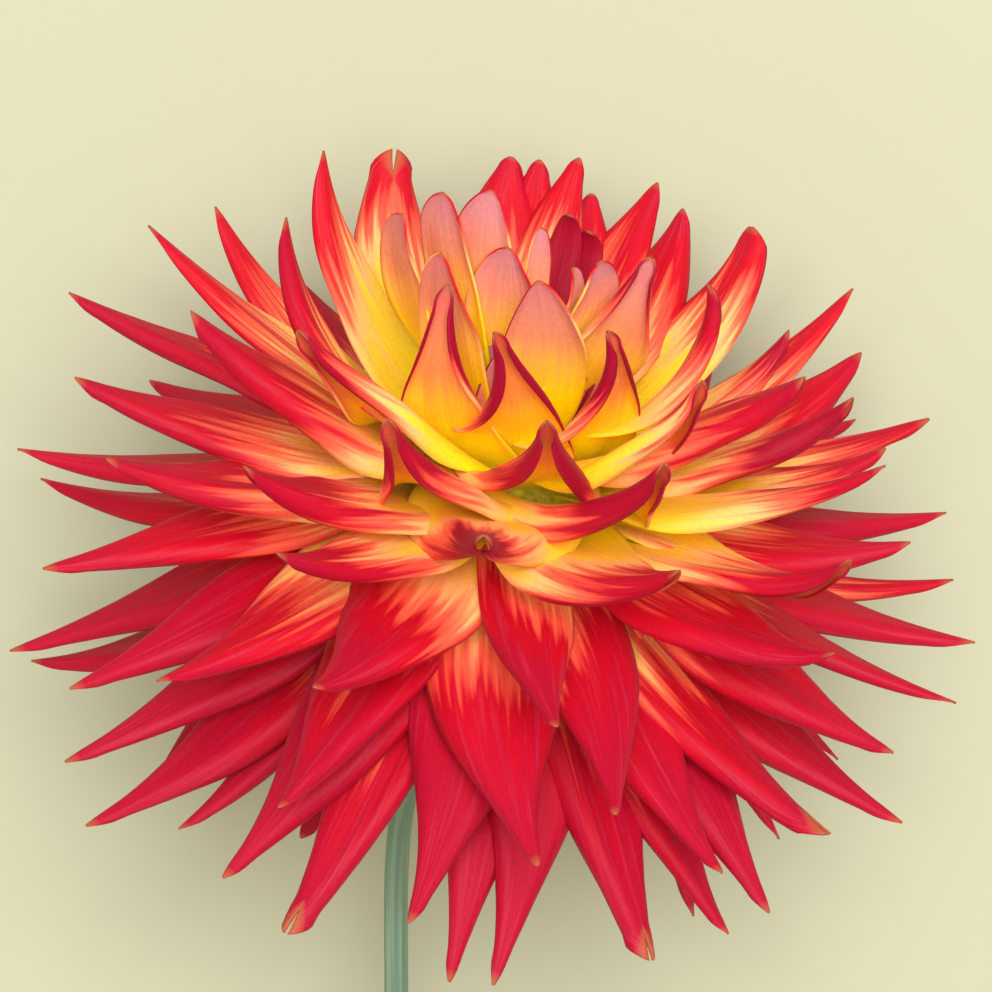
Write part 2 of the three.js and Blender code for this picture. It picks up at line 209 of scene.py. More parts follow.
# Petals that the photograph shows: the pixels of the tip and of a place further back on the middle line, the
# tip's reach from the head's middle in mm, and its near (1) or far (-1) side. Some have values of their own:
# there, width is a factor on the row's, twist is in degrees, and split is 1 for a split tip.
slimYoung = {"width": 0.6, "red": 0.3, "deep": 0.7}
smallYoung = {"width": 0.4, "deep": 0.2}
petalsSeen = {
    "inner": [
        (538, 281, 545, 350, 55.5, 1, {"width": 1.3, "deep": 0}),
        (510, 249, 505, 305, 55, 1, {"width": 1.15, "deep": 0}),
        (440, 253, 450, 325, 57, 1, {"width": 1.1, "deep": 0}),
        (403, 215, 408, 285, 60, 1, {"twist": 20, "deep": 0}),
        (443, 193, 450, 265, 63, 1, {"twist": 45, "width": 1.1, "deep": 0}),
        (492, 191, 482, 265, 63, 1, {"twist": 40, "width": 1.1, "deep": 0}),
        (589, 232, 580, 280, 50, -1, slimYoung), (570, 215, 560, 270, 52, -1, slimYoung),
        (541, 228, 535, 290, 57, 1, smallYoung), (573, 268, 570, 320, 51, 1, smallYoung),
        (600, 262, 592, 310, 54, 1, {"width": 0.7, "twist": -40, "deep": 0.2}),
    ],
    "crown": [
        (395, 149, 402, 275, 69, -1, {"split": 1, "width": 1.0, "red": 0.78}),
        (326, 157, 360, 288, 68, -1, {"red": 0.76}), (512, 157, 500, 240, 66, -1),
        (540, 160, 522, 250, 66, -1), (580, 158, 542, 260, 66, -1), (658, 183, 597, 282, 68, -1),
        (683, 209, 637, 300, 68, -1), (751, 227, 694, 328, 68, -1, {"tip": 2.6}),
        (591, 194, 580, 260, 64, -1, {"width": 0.7}), (154, 231, 292, 343, 74, -1),
        (215, 207, 311, 341, 72, -1), (853, 289, 716, 404, 74, -1), (861, 353, 745, 425, 73, -1),
    ],
    "collar": [
        (449, 285, 446, 390, 59, 1, {"twist": 0, "red": 0.6}),
        (494, 333, 512, 405, 60.4, 1, {"twist": 85, "roll": 180, "width": 1.2, "red": 0.56}),
        (607, 332, 602, 405, 58.4, 1, {"twist": 68, "roll": 180, "width": 1.2, "red": 0.54}),
        (708, 285, 680, 370, 62, 1, {"twist": 60, "width": 1.3, "red": 0.66, "deep": 0.4}),
        (286, 218, 330, 345, 68, 1, {"twist": -40, "width": 1.3, "red": 0.66, "deep": 0.4}),
        (652, 258, 607, 340, 58, 1, {"twist": -100, "width": 1.2, "red": 0.8}),
    ],
    "shoulder": [
        (547, 421, 543, 465, 62, 1, {"twist": 0, "red": 0.64}), (387, 419, 430, 478, 64, 1),
        (664, 464, 608, 500, 65, 1), (702, 381, 640, 445, 64, 1),
        (298, 331, 385, 400, 65, 1, {"twist": 30, "red": 0.82}),
        (191, 312, 310, 392, 69, 1, {"twist": -30, "width": 1.2, "red": 0.56, "deep": 0.3}),
        (804, 378, 700, 420, 68, 1, {"twist": 35, "width": 1.2, "red": 0.62, "deep": 0.3}),
    ],
    "nearest": [(484, 536, 492, 528, 66, 1, {"twist": 0})],
    "middle": [
        (244, 467, 345, 495, 68, 1), (277, 554, 372, 550, 70, 1),
        (679, 571, 600, 566, 70, 1, {"twist": 30, "width": 1.15, "red": 0.78}),
        (850, 560, 752, 572, 73, 1), (106, 459, 260, 480, 72, 1), (885, 466, 735, 500, 72, 1),
        (75, 378, 230, 424, 74, 1, {"red": 0.54}), (69, 293, 222, 357, 77, -1, {"red": 0.5}),
        (929, 419, 752, 464, 75, -1),
    ],
    "lower": [
        (556, 727, 536, 640, 72, 1, {"width": 0.78}), (314, 688, 390, 625, 73, 1),
        (834, 654, 722, 620, 74, 1), (26, 451, 200, 463, 76, -1), (43, 569, 220, 522, 75, 1),
        (953, 580, 772, 573, 76, -1), (966, 641, 782, 586, 77, -1), (946, 513, 772, 513, 76, -1),
        (157, 681, 282, 612, 75, 1), (41, 479, 200, 498, 76, -1), (150, 381, 262, 412, 72, -1),
        (855, 420, 742, 442, 72, -1),
    ],
    "skirt": [
        (615, 815, 600, 700, 75, 1, {"red": 0.36}),
        (538, 866, 502, 725, 77, 1, {"width": 1.15, "red": 0.44}), (279, 808, 348, 702, 76, 1),
        (70, 689, 236, 600, 77, 1), (722, 873, 650, 750, 77, 1, {"red": 0.36}),
        (830, 833, 702, 717, 77, 1, {"split": 1}), (893, 753, 762, 666, 77, 1),
        (956, 703, 772, 618, 77, 1), (902, 823, 752, 704, 78, 1), (10, 651, 200, 574, 77, -1),
    ],
    "hem": [
        (223, 878, 332, 738, 77, 1), (285, 933, 366, 782, 77, 1, {"split": 1}),
        (409, 923, 460, 762, 77, 1), (449, 982, 485, 805, 78, 1), (493, 985, 534, 802, 78, 1),
        (652, 960, 608, 800, 78, 1, {"split": 1}), (728, 934, 664, 800, 77, 1),
        (769, 913, 690, 752, 78, 1), (65, 762, 232, 660, 77, 1), (86, 826, 242, 714, 78, 1),
        (179, 829, 290, 716, 67, 1), (32, 661, 190, 622, 76, -1), (301, 838, 342, 742, 57, 1),
    ],
}
# Petals that the photograph doesn't show, a golden angle apart: those round the back and in the gaps, clear
# of the ones that it shows, and the closed florets of the bud.
goldenAngle = 137.508
hidden = {
    "count": 116,
    "lowest": -0.72,  # height on the head's axis, where 1 is the top
    "highest": 0.985,
    "clear": 16.0,  # degrees
    "reach": 63.5,  # mm
    "deeper": 12.0,  # mm more towards the camera and away from it
    "level": 20.0,  # degrees above the equator
    "shorter": 0.3,  # mm for each degree above that level
}
bud = {
    "count": 16,
    "firstTilt": 3.0,  # degrees
    "spread": 4.2,  # degrees
    "reach": 35.0,  # mm
    "longer": 1.6,  # mm
    "uneven": 2.0,  # mm
    "unevenBy": 3.3,
}


def direction(elevation, azimuth):
    elevation, azimuth = math.radians(elevation), math.radians(azimuth)
    level = math.cos(elevation)
    return (
        front * level * math.cos(azimuth) + right * level * math.sin(azimuth) + axis * math.sin(elevation))


def millimetresAt(pixelX, pixelY, depth):
    scale = view["pixelsPerMm"] * view["eyeHeight"] / (view["eyeHeight"] - depth)
    middleX, middleY = view["middlePixel"]
    return Vector(((pixelX - middleX) / scale, (middleY - pixelY) / scale, depth))


def seenTip(pixelX, pixelY, reach, side):
    tip = Vector((0, 0, 0))
    for _ in range(view["depthSteps"]):
        tip = millimetresAt(pixelX, pixelY, tip.z)
        tip.z = side * math.sqrt(max(reach * reach - tip.x * tip.x - tip.y * tip.y, 0))
    return tip


def clamp(value, least, most):
    return max(least, min(most, value))


# The four points of a petal's middle line, from the head's middle. A tip below the table is laid on it.
def petalLine(tip, elevation, azimuth, seen=None):
    form = petalForm
    onDome = direction(90 - (90 - elevation) * form["rootSpread"], azimuth)
    rise = onDome.dot(axis)
    root = (onDome - axis * rise) * head["domeRadius"] + axis * rise * head["domeRise"]
    length = (tip - root).length
    bend = form["bendPerDegree"] * (form["bendLevel"] - elevation)
    bend = clamp(bend, form["leastBend"], form["mostBend"])
    rootLift = min(elevation + bend, form["mostLift"])
    rootHandle = root + direction(rootLift, azimuth) * length * form["rootHandle"]
    tipHandle = tip - direction(elevation - bend * form["tipBend"], azimuth) * length * form["tipHandle"]
    if seen:
        on, off = form["seenAt"], 1 - form["seenAt"]
        nearRoot, nearTip = 3 * on * off * off, 3 * on * on * off
        place = root * off ** 3 + rootHandle * nearRoot + tipHandle * nearTip + tip * on ** 3
        shift = (millimetresAt(*seen, place.z) - place) / (nearRoot + nearTip)
        shift *= min(1, form["mostShift"] / max(shift.length, 0.001))
        rootHandle, tipHandle = rootHandle + shift, tipHandle + shift
    table = -form["tablePress"] - head["middle"][2]
    if tip.z < table:
        outwards = Vector((tip.x, tip.y, 0)).normalized()
        drop = root.z - table
        tip = root + outwards * math.sqrt(max(length * length - drop * drop, 0))
        tip.z = table
        tipHandle = tip - outwards * length * form["tipHandle"]
        rootHandle.z = max(rootHandle.z, table + form["leastArch"])
    return root, rootHandle, tipHandle, tip


def seedPetal(tip, elevation, azimuth, row, seen=None, own=None):
    form, style, own = petalForm, petalRows[row], own or {}
    around = math.radians(azimuth)
    sideways = right * math.cos(around) - front * math.sin(around)
    byElevation, byAzimuth = form["unevenBy"]
    swaying, widening, twisting, chance = (
        math.sin(elevation * byElevation + azimuth * byAzimuth + phase) for phase in form["unevenPhases"])
    root, rootHandle, tipHandle, tip = petalLine(tip, elevation, azimuth, seen)
    if not seen:
        rootHandle = rootHandle + sideways * form["sway"] * swaying
        tipHandle = tipHandle + sideways * form["sway"] * swaying
    return {
        "root": (root + headMiddle) * mm,
        "rootHandle": (rootHandle + headMiddle) * mm,
        "tipHandle": (tipHandle + headMiddle) * mm,
        "tip": (tip + headMiddle) * mm,
        "sideways": sideways,
        "halfWidth": style["width"] * own.get("width", 1 + form["unevenWidth"] * widening) * mm,
        "endWidth": own.get("tip", style["tip"]) * mm,
        "roll": math.radians(own.get("roll", style["roll"])),
        "twist": math.radians(own.get("twist", form["twist"] * twisting)),
        "red": own.get("red", style["red"] + form["unevenRed"] * chance),
        "young": clamp((elevation - form["youngFrom"]) / form["youngOver"], 0, 1),
        "deep": own.get("deep", style["deep"]),
        "split": float(own.get("split", 0)),
        "chance": 0.5 + 0.5 * chance,
    }


def seedPetals():
    seeds = {row: [] for row in petalRows}
    ways = []
    for row, petals in petalsSeen.items():
        for pixelX, pixelY, backX, backY, reach, side, *own in petals:
            tip = seenTip(pixelX, pixelY, reach, side)
            way = tip.normalized()
            elevation = math.degrees(math.asin(way.dot(axis)))
            azimuth = math.degrees(math.atan2(way.dot(right), way.dot(front)))
            ways.append(way)
            seeds[row].append(seedPetal(tip, elevation, azimuth, row, (backX, backY), *own))
    for place in range(hidden["count"]):
        share = (place + 0.5) / hidden["count"]
        height = hidden["lowest"] + share * (hidden["highest"] - hidden["lowest"])
        elevation = math.degrees(math.asin(height))
        azimuth = place * goldenAngle % 360
        way = direction(elevation, azimuth)
        if min(way.angle(other) for other in ways) < math.radians(hidden["clear"]):
            continue
        row = next(name for name, lowest in rowFrom if elevation > lowest)
        reach = hidden["reach"] + hidden["deeper"] * abs(way.z)
        reach -= max(elevation - hidden["level"], 0) * hidden["shorter"]
        seeds[row].append(seedPetal(way * reach, elevation, azimuth, row))
    for place in range(bud["count"]):
        elevation = 90 - bud["firstTilt"] - bud["spread"] * math.sqrt(place)
        azimuth = place * goldenAngle
        reach = bud["reach"] + bud["longer"] * math.sqrt(place)
        reach += bud["uneven"] * math.sin(place * bud["unevenBy"])
        way = direction(elevation, azimuth)
        seeds["florets"].append(seedPetal(way * reach, elevation, azimuth, "florets"))
    return seeds


# What every blade shares. The pairs are the shares of the length between which a change runs.
bladeShape = {
    "notch": (0.84, 1.0),
    "blunt": (0.5, 0.9),
    "roundEnd": (1.0, 0.95),
    "opening": (0.9, 1.0),
    "cup": (0.05, 0.5),
    "fading": (0.5, 0.95),
    "ringPower": 1.3,  # above 1, the rings lie closer towards the tip
    "twistFrom": 0.3,  # the place along the blade that a twist leaves as it is
    "leastEnd": 0.03,  # how much of the end's width is left at the very tip, before its root is taken
    "openTo": 0.45,  # how much of the roll is left at the tip
    "foldStretch": 1.3,  # how much the folds change along the blade
    "waves": 8.0,  # radians along the blade
    "waveSpread": 20.0,  # radians between two petals at most
}
chanceSpread = 90.0  # how far two petals' patterns lie apart


# One blade for every seed point: a strip bent along a curve, dished at the root, rolled back at its edges.
def bladeTree():
    shape = bladeShape
    tree = bpy.data.node_groups.new("blades", "GeometryNodeTree")
    tree.interface.new_socket("Geometry", in_out="INPUT", socket_type="NodeSocketGeometry")
    tree.interface.new_socket("Geometry", in_out="OUTPUT", socket_type="NodeSocketGeometry")
    for name, kind in [
        ("Rings", "Int"), ("Columns", "Int"), ("Root share", "Float"), ("Swell", "Float"), ("Taper", "Float"),
        ("Root roll", "Float"), ("Roll from", "Float"), ("Roll to", "Float"), ("Flat from", "Float"),
        ("Flat to", "Float"), ("Flat at root", "Float"), ("Flat at tip", "Float"), ("Cup", "Float"),
        ("Fold height", "Float"), ("Folds", "Float"), ("Edge wave", "Float"), ("Notch", "Float"),
        ("Split width", "Float"), ("Table height", "Float"), ("Finish", "Material"),
    ]:
        tree.interface.new_socket(name, in_out="INPUT", socket_type=f"NodeSocket{kind}")
    given = tree.nodes.new("NodeGroupInput").outputs

    # The flat strip: along runs from root to tip with closer rings at the tip, across from edge to edge.
    strip = put(tree, "GeometryNodeMeshGrid", 1.0, 2.0, given["Rings"], given["Columns"])
    place = put(tree, separate, put(tree, "GeometryNodeInputPosition")).node.outputs
    toTip = put(tree, sums, 0.5, place[0], **minus)
    toTip = put(tree, sums, toTip, 0.0, operation="MAXIMUM")
    toTip = put(tree, sums, toTip, shape["ringPower"], operation="POWER")
    stored = strip
    for name, value in (("along", put(tree, sums, 1.0, toTip, **minus)), ("across", place[1])):
        stored = put(
            tree, "GeometryNodeStoreNamedAttribute", stored, None, name, value,
            data_type="FLOAT", domain="POINT")
    shown = put(tree, "GeometryNodeInstanceOnPoints", given["Geometry"], named={"Instance": stored})
    loose = put(tree, "GeometryNodeRealizeInstances", shown)

    seed = {
        name: put(tree, "GeometryNodeInputNamedAttribute", name, data_type=kind)
        for kind, names in (
            ("FLOAT", ("along", "across", "halfWidth", "endWidth", "roll", "twist", "split", "chance")),
            ("FLOAT_VECTOR", ("root", "rootHandle", "tipHandle", "tip", "sideways")))
        for name in names
    }
    along, across = seed["along"], seed["across"]
    offMiddle = put(tree, sums, across, operation="ABSOLUTE")

    # A split tip's middle is drawn back.
    nearTip = put(tree, ramped, along, *shape["notch"], 0.0, given["Notch"], **smooth)
    drawnBack = put(tree, sums, nearTip, seed["split"], **times)
    nearMiddle = put(tree, sums, 1.0, offMiddle, **minus)
    drawnBack = put(tree, sums, drawnBack, nearMiddle, **times)
    onLine = put(tree, sums, along, drawnBack, **minus)

    # The middle line is a cubic curve through the seed's four points.
    points = [seed[name] for name in ("root", "rootHandle", "tipHandle", "tip")]
    while len(points) > 1:
        ends = points
        points = [
            put(tree, mixed, onLine, named={4: one, 5: other}, data_type="VECTOR", out=1)
            for one, other in zip(points, points[1:])
        ]
    middle = points[0]
    forwards = put(tree, vectors, ends[1], ends[0], **minus)
    forwards = put(tree, vectors, forwards, operation="NORMALIZE")
    leaning = put(tree, vectors, seed["sideways"], forwards, operation="DOT_PRODUCT", out=1)
    overlap = put(tree, vectors, forwards, named={"Scale": leaning}, operation="SCALE")
    aside = put(tree, vectors, seed["sideways"], overlap, **minus)
    aside = put(tree, vectors, aside, operation="NORMALIZE")
    turned = put(tree, sums, along, shape["twistFrom"], **minus)
    turned = put(tree, sums, turned, seed["twist"], **times)
    aside = put(tree, "ShaderNodeVectorRotate", aside, None, forwards, turned)
    inwards = put(tree, vectors, forwards, aside, operation="CROSS_PRODUCT")

    # Half width along the blade, as a share of its widest place, with a blunt rounded end.
    rootTaper = put(tree, sums, given["Taper"], given["Root share"], **times)
    widest = put(
        tree, sums, put(tree, sums, given["Swell"], rootTaper, **minus),
        put(tree, sums, given["Swell"], given["Taper"], operation="ADD"), operation="DIVIDE")
    outline = []
    for share in (along, widest):
        swelling = put(tree, sums, share, given["Root share"], operation="ADD")
        swelling = put(tree, sums, swelling, given["Swell"], operation="POWER")
        tapering = put(tree, sums, 1.0, share, **minus)
        tapering = put(tree, sums, tapering, 0.0, operation="MAXIMUM")
        tapering = put(tree, sums, tapering, given["Taper"], operation="POWER")
        outline.append(put(tree, sums, swelling, tapering, **times))
    blade = put(tree, sums, *outline, operation="DIVIDE")
    blade = put(tree, sums, seed["halfWidth"], blade, **times)
    roundEnd = put(tree, ramped, along, *shape["roundEnd"], shape["leastEnd"], 1.0)
    roundEnd = put(tree, sums, roundEnd, 0.5, operation="POWER")
    blunt = put(tree, ramped, along, *shape["blunt"], 0.0, 1.0)
    blunt = put(tree, sums, blunt, roundEnd, **times)
    endWidth = put(tree, sums, seed["split"], given["Split width"], seed["endWidth"], **timesPlus)
    blunt = put(tree, sums, endWidth, blunt, **times)
    width = put(tree, sums, blade, blunt, operation="ADD")

    # Across the blade: flat in the middle, then an arc that rolls the edge back.
    rolling = put(
        tree, ramped, along, given["Roll from"], given["Roll to"], given["Root roll"], seed["roll"], **smooth)
    opening = put(tree, ramped, along, *shape["opening"], 1.0, shape["openTo"], **smooth)
    rolled = put(tree, sums, rolling, opening, **times)
    flat = put(
        tree, ramped, along, given["Flat from"], given["Flat to"], given["Flat at root"],
        given["Flat at tip"], **smooth)
    onFlat = put(tree, sums, offMiddle, flat, operation="MINIMUM")
    onArc = put(tree, sums, offMiddle, flat, **minus)
    onArc = put(tree, sums, onArc, 0.0, operation="MAXIMUM")
    bend = put(tree, sums, rolled, put(tree, sums, 1.0, flat, **minus), operation="DIVIDE")
    angle = put(tree, sums, onArc, bend, **times)
    arcOut = put(tree, sums, put(tree, sums, angle, operation="SINE"), bend, operation="DIVIDE")
    arcDown = put(tree, sums, put(tree, sums, angle, operation="COSINE"), 1.0, **minus)
    arcDown = put(tree, sums, arcDown, bend, operation="DIVIDE")
    signed = put(tree, sums, width, put(tree, sums, across, operation="SIGN"), **times)
    outwards = put(tree, sums, onFlat, arcOut, operation="ADD")
    outwards = put(tree, sums, signed, outwards, **times)
    squared = put(tree, sums, across, across, **times)
    cup = put(tree, ramped, along, *shape["cup"], given["Cup"], 0.0, **smooth)
    dish = put(tree, sums, cup, squared, arcDown, **timesPlus)

    # Soft lengthwise folds of uneven width, and a slow wave along the edges.
    fading = put(tree, ramped, along, *shape["fading"], 1.0, 0.0, **smooth)
    number = put(tree, sums, seed["chance"], chanceSpread, **times)
    foldPlace = put(
        tree, combine, put(tree, sums, along, shape["foldStretch"], **times),
        put(tree, sums, across, given["Folds"], **times), number)
    folds = put(tree, noise, foldPlace, None, 1.0, 1.0)
    folds = put(tree, sums, folds, 0.5, **minus)
    folds = put(tree, sums, folds, given["Fold height"], **times)
    phase = put(tree, sums, seed["chance"], shape["waveSpread"], across, **timesPlus)
    phase = put(tree, sums, phase, 1.0)
    phase = put(tree, sums, along, shape["waves"], phase, **timesPlus)
    waving = put(tree, sums, phase, operation="SINE")
    waving = put(tree, sums, waving, given["Edge wave"], **times)
    uneven = put(tree, sums, waving, squared, folds, **timesPlus)
    uneven = put(tree, sums, uneven, fading, **times)
    raised = put(tree, sums, width, dish, uneven, **timesPlus)
    toSide = put(tree, vectors, aside, named={"Scale": outwards}, operation="SCALE")
    toInside = put(tree, vectors, inwards, named={"Scale": raised}, operation="SCALE")
    moved = put(tree, vectors, toSide, toInside, operation="ADD")
    moved = put(tree, vectors, middle, moved, operation="ADD")
    over = put(tree, separate, moved).node.outputs
    onTable = put(tree, sums, over[2], given["Table height"], operation="MAXIMUM")
    bent = put(tree, "GeometryNodeSetPosition", loose, None, put(tree, combine, over[0], over[1], onTable))
    halfway = put(tree, sums, across, 0.5, 0.5, **timesPlus)
    mapped = put(
        tree, "GeometryNodeStoreNamedAttribute", bent, None, "UVMap", put(tree, combine, along, halfway),
        data_type="FLOAT2", domain="CORNER")
    put(tree, "NodeGroupOutput", put(tree, "GeometryNodeSetMaterial", mapped, None, given["Finish"]))
    return tree


def setInputs(modifier, values):
    for item in modifier.node_group.interface.items_tree:
        if item.in_out == "INPUT" and item.name in values:
            modifier[item.identifier] = values[item.name]


# What the tree makes becomes the piece's own plain mesh.
def makePlain(piece):
    bpy.context.view_layer.update()
    source = piece.data
    grown = bpy.data.meshes.new_from_object(piece.evaluated_get(bpy.context.evaluated_depsgraph_get()))
    piece.modifiers.clear()
    piece.data = grown
    bpy.data.meshes.remove(source)
    grown.name = piece.name
    return piece


# A mesh of seed points carries each blade's values to the tree, which turns them into blades.
def growBlades(name, seeds, tree, form, style, finishes):
    mesh = bpy.data.meshes.new("seeds")
    mesh.from_pydata([seed["root"] for seed in seeds], [], [])
    for key, value in seeds[0].items():
        isVector = isinstance(value, Vector)
        attribute = mesh.attributes.new(key, "FLOAT_VECTOR" if isVector else "FLOAT", "POINT")
        for place, seed in enumerate(seeds):
            if isVector:
                attribute.data[place].vector = seed[key]
            else:
                attribute.data[place].value = seed[key]
    piece = bpy.data.objects.new(name, mesh)
    scene.collection.objects.link(piece)
    modifier = piece.modifiers.new("blades", "NODES")
    modifier.node_group = tree
    setInputs(modifier, {
        "Rings": form["rings"], "Columns": form["columns"], "Root share": form["rootShare"],
        "Swell": style["swell"], "Taper": style["taper"], "Root roll": math.radians(form["rootRoll"]),
        "Roll from": style["curl"][0], "Roll to": style["curl"][1], "Flat from": form["flatFrom"],
        "Flat to": form["flatTo"], "Flat at root": style["flat"][0], "Flat at tip": style["flat"][1],
        "Cup": form["cup"], "Fold height": form["foldHeight"] * mm,
        "Folds": style["width"] / form["foldWidth"], "Edge wave": form["edgeWave"] * mm,
        "Notch": form["notch"], "Split width": form["splitWidth"] * mm,
        "Table height": form["thickness"] * mm / 2, "Finish": finishes[0],
    })
    grown = makePlain(piece).data
    grown.materials.clear()
    for finish in finishes:
        grown.materials.append(finish)
    grown.shade_smooth()
    for key in (
        "root", "rootHandle", "tipHandle", "tip", "sideways", "halfWidth", "endWidth", "roll", "twist",
        "split",
    ):
        grown.attributes.remove(grown.attributes[key])
    shell = piece.modifiers.new("thickness", "SOLIDIFY")
    shell.thickness = form["thickness"] * mm
    shell.offset = 0
    shell.material_offset = len(finishes) - 1
    return piece


# Petals are thin living tissue: satin, a little see-through, with veins that run lengthwise. Each tone takes
# over from the one before between two shares of the length, counted from where the red starts on the upper
# side and from the root on the under side.
petalTones = {
    "upper": [
        ("#FFE000", -1.0, -0.9), ("#FFCE30", -0.56, -0.32), ("#FFB870", -0.3, -0.13),
        ("#EC5A42", -0.16, -0.01), ("#C2021C", -0.02, 0.12), ("#B20428", 0.16, 0.4), ("#AE203C", 0.6, 1.0),
    ],
    "under": [
        ("#FFE400", -1.0, -0.9), ("#FFC41C", 0.34, 0.52), ("#F08E42", 0.5, 0.7), ("#CC4C38", 0.72, 1.0),
    ],
    # painted highlight: the pale pink of the satin sheen, laid on in streaks along the veins
    "paintedSheen": "#D8485E",
    # painted shade: the darker crimson that stands in for the shade deep in the bloom
    "dark": "#900328",
    "young": "#C68086",
    "rim": "#980328",
    "tip": "#A8683C",
    # yellow-green at the root: partly the petals' own base colour, partly painted shade of the bloom's
    # hollows
    "root": "#BCC81C",
    "sheen": "#FF90A0",
}
petalGrain = {
    "veinSpacing": 0.9,  # mm
    "veinStretch": 3.0,
    "veinReach": 0.4,  # how far the veins carry a tone up and down the blade, as a share of the length
    "flameWidth": 3.2,  # mm
    "flameStretch": 1.6,
    "flameReach": 0.56,
    "edgePower": 3.0,
    "edgeReach": 0.08,
    "underReach": 0.3,  # how much of those reaches the under side keeps
    "mottleSize": 0.7,  # mm
    "mottle": 0.16,
    "mottleRelief": 0.3,
    "relief": 0.3,  # mm
    "slant": 0.28,  # how much further the crimson comes down along one edge, as a share of the length
    "span": 17.0,  # mm, the width that the patterns are drawn over
}
# Thin layers of a tone over the others: the pairs are the ends between which a layer grows, and the single
# values its most or least strength.
petalLayers = {
    # painted highlight: where the pale pink sheen streaks lie on the veins, and how strong they get
    "paintedSheenVeins": (0.54, 0.8),
    "paintedSheenPast": (0.0, 0.2),
    "paintedSheenMost": 0.35,
    # painted shade: where the darker crimson sets in past the start of the red
    "paintedShadePast": (0.0, 0.12),
    "youngAge": (0.6, 1.0),
    "youngMost": 0.85,
    "youngPast": (0.4, 0.85),
    "rimEdge": (0.9, 1.0),
    "rimMost": 0.8,
    "rimAlong": (0.45, 0.75),
    "rimAge": (0.4, 0.9),
    "rimLeast": 0.15,
    "tipAlong": (0.97, 0.995),
    "tipMost": 0.6,
    # the yellow-green at the root, partly own colour and partly painted shade
    "rootAlong": (0.04, 0.2),
    "rootMost": 0.5,
}


